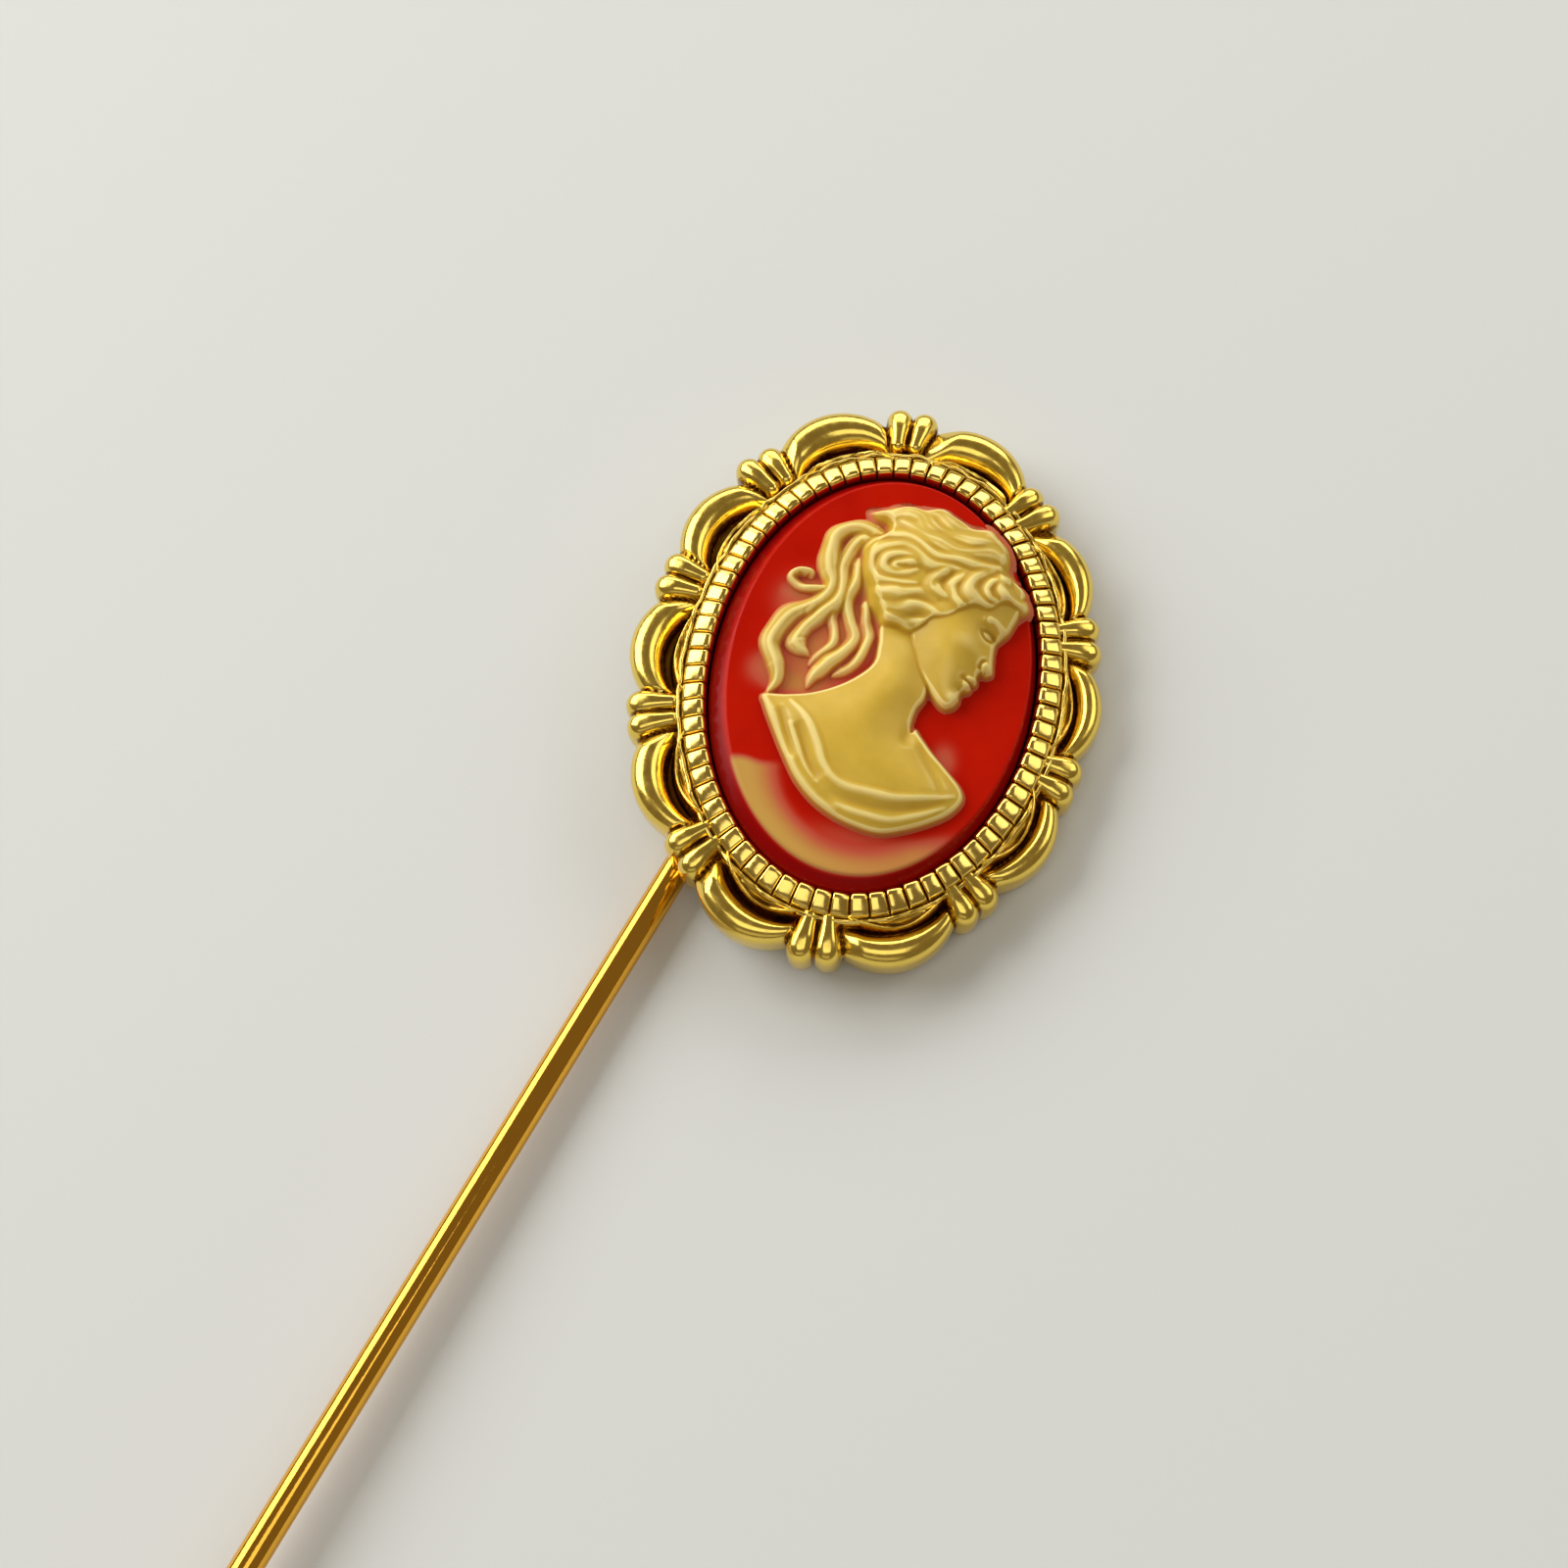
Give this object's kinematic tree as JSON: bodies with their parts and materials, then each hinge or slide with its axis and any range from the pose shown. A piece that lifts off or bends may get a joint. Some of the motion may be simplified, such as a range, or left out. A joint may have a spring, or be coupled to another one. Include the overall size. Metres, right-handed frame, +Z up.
{
  "type": "hat pin",
  "caption": "Long wire hat pin with an oval lace-edge cameo head and a push-on point guard.",
  "frame": {"origin": "on the resting plane, under the middle of the box of the pin as it lies on its back", "axes": "+Z up with the cameo facing up, +Y along the wire from the point to the head, +X to the right as seen from above. The wire leans about 1 degree because the point guard is thicker than the wire, and the head rolls about 6 degrees on it."},
  "size_m": [0.0196, 0.113, 0.0052],
  "materials": {
    "gold_casting": "polished gold plate",
    "gold_wire": "polished gold plate, drawn wire",
    "gold_sheet": "gold plate",
    "solder": "satin",
    "cameo_red": "gloss",
    "cameo_cream": "satin",
    "adhesive": "clear, slightly yellow",
    "nylon": "milky"
  },
  "bodies": {
    "pin": {"setting": "gold_casting", "cameo_base": "cameo_red", "cameo_relief": "cameo_cream", "cameo_adhesive": "adhesive", "pad_adhesive": "adhesive", "mounting_pad": "gold_sheet", "solder_joint": "solder", "pin_shaft": "gold_wire"},
    "point_guard": {"clutch_shell": "gold_sheet", "clutch_grip": "nylon"}
  },
  "joints": [
    {"name": "clutch_slide", "type": "slide", "parent": "pin", "child": "point_guard", "axis": [0, -0.9998, 0.0186], "range_m": [0, 0.03]}
  ]
}
